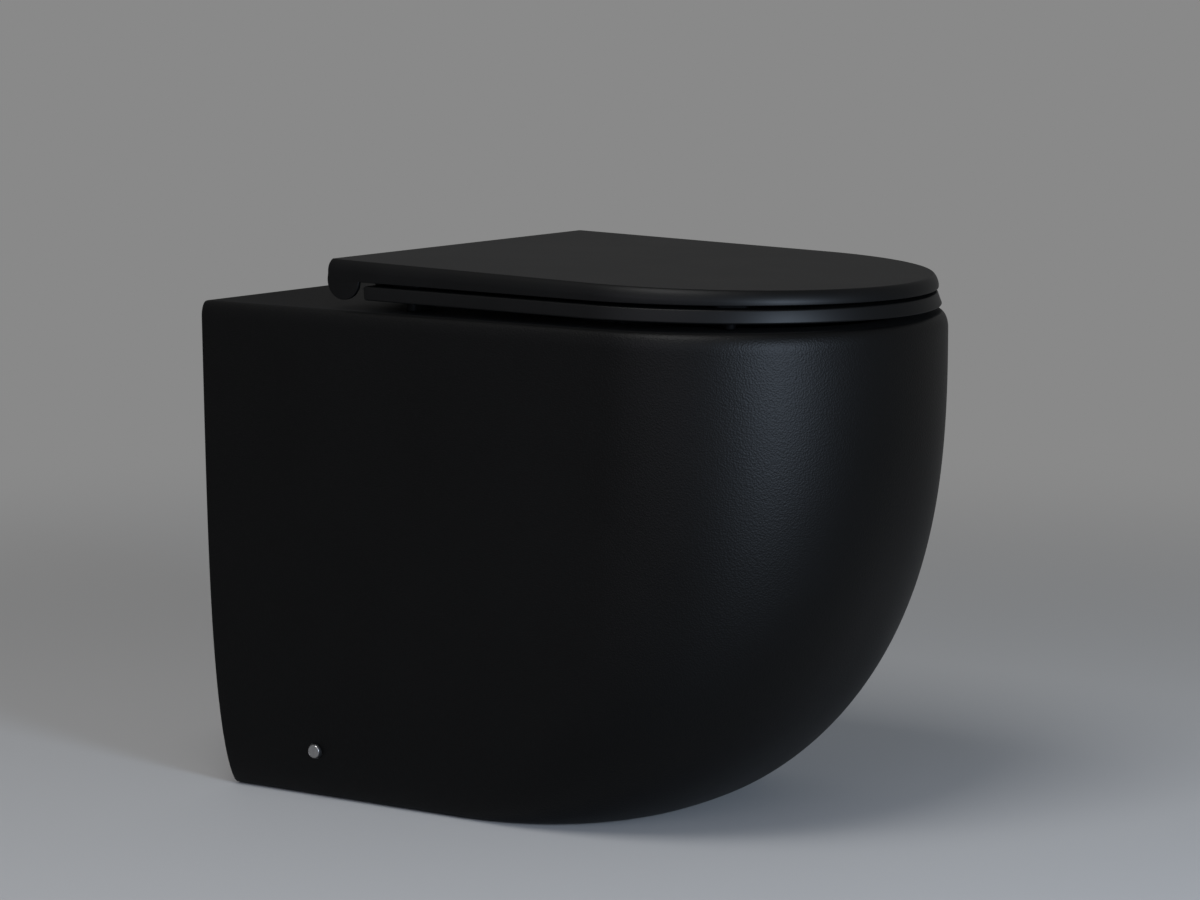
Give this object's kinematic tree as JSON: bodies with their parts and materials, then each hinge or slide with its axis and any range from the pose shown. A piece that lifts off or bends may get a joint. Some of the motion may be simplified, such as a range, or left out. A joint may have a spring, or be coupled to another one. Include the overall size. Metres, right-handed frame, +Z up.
{
  "type": "back-to-wall toilet",
  "caption": "Floor-standing toilet pan with a flat back for a wall, bellied front, slim soft-close seat and lid on lift-off hinges, P-trap outlet and rear flush inlet.",
  "frame": {"origin": "centre of the footprint box, on the floor", "axes": "+Z up, -Y towards the front, +Y towards the wall, +X to the right as seen from the front"},
  "size_m": [0.3662, 0.548, 0.4394],
  "materials": {
    "matt_black_ceramic": "satin black glaze",
    "satin_black_seat": "satin black moulded thermoset",
    "dark_rubber": "moulded",
    "dark_nylon": "moulded",
    "button_plastic": "moulded",
    "satin_chrome": "satin",
    "zinc_steel": "zinc plated",
    "stainless_steel": "brushed"
  },
  "bodies": {
    "pan": {"skirt_side_left": "matt_black_ceramic", "skirt_side_right": "matt_black_ceramic", "skirt_front_left": "matt_black_ceramic", "skirt_front_right": "matt_black_ceramic", "pan_deck": "matt_black_ceramic", "bowl": "matt_black_ceramic", "sump": "matt_black_ceramic", "trap_dip": "matt_black_ceramic", "trap_outlet": "matt_black_ceramic", "flush_channel": "matt_black_ceramic", "inlet_seal": "dark_rubber", "hinge_pad_left": "dark_rubber", "hinge_pad_right": "dark_rubber", "hinge_plate_left": "stainless_steel", "hinge_plate_right": "stainless_steel", "stud_bolt_left": "stainless_steel", "stud_bolt_right": "stainless_steel", "expansion_sleeve_left": "dark_rubber", "expansion_sleeve_right": "dark_rubber", "clamp_nut_left": "stainless_steel", "clamp_nut_right": "stainless_steel", "floor_bracket_left": "zinc_steel", "floor_bracket_right": "zinc_steel", "side_bush_left": "dark_nylon", "side_bush_right": "dark_nylon", "side_screw_left": "stainless_steel", "side_screw_right": "stainless_steel", "side_cap_left": "satin_chrome", "side_cap_right": "satin_chrome"},
    "hinge_carriage": {"hinge_block_left": "dark_nylon", "retaining_clip_left": "stainless_steel", "damper_left": "dark_nylon", "hinge_pin_left": "stainless_steel", "hinge_block_right": "dark_nylon", "retaining_clip_right": "stainless_steel", "damper_right": "dark_nylon", "hinge_pin_right": "stainless_steel"},
    "release_left": {"release_button_left": "button_plastic"},
    "release_right": {"release_button_right": "button_plastic"},
    "seat": {"seat_ring": "satin_black_seat", "seat_buffers": "dark_rubber"},
    "lid": {"lid": "satin_black_seat", "lid_buffers": "dark_rubber"}
  },
  "joints": [
    {"name": "lift_off", "type": "slide", "parent": "pan", "child": "hinge_carriage", "axis": [0, 0, 1], "range_m": [0, 0.04], "deforming": ["retaining_clip_left", "retaining_clip_right"]},
    {"name": "release_left", "type": "slide", "parent": "hinge_carriage", "child": "release_left", "axis": [0, 1, 0], "range_m": [0, 0.002], "stiffness_N_per_m": 1500},
    {"name": "release_right", "type": "slide", "parent": "hinge_carriage", "child": "release_right", "axis": [0, 1, 0], "range_m": [0, 0.002], "stiffness_N_per_m": 1500},
    {"name": "seat_hinge", "type": "hinge", "parent": "hinge_carriage", "child": "seat", "pos_m": [0, 0.1364, 0.4234], "axis": [1, 0, 0], "range_deg": [-100, 0]},
    {"name": "lid_hinge", "type": "hinge", "parent": "seat", "child": "lid", "pos_m": [0, 0.1364, 0.4234], "axis": [-1, 0, 0], "range_deg": [0, 105]}
  ]
}
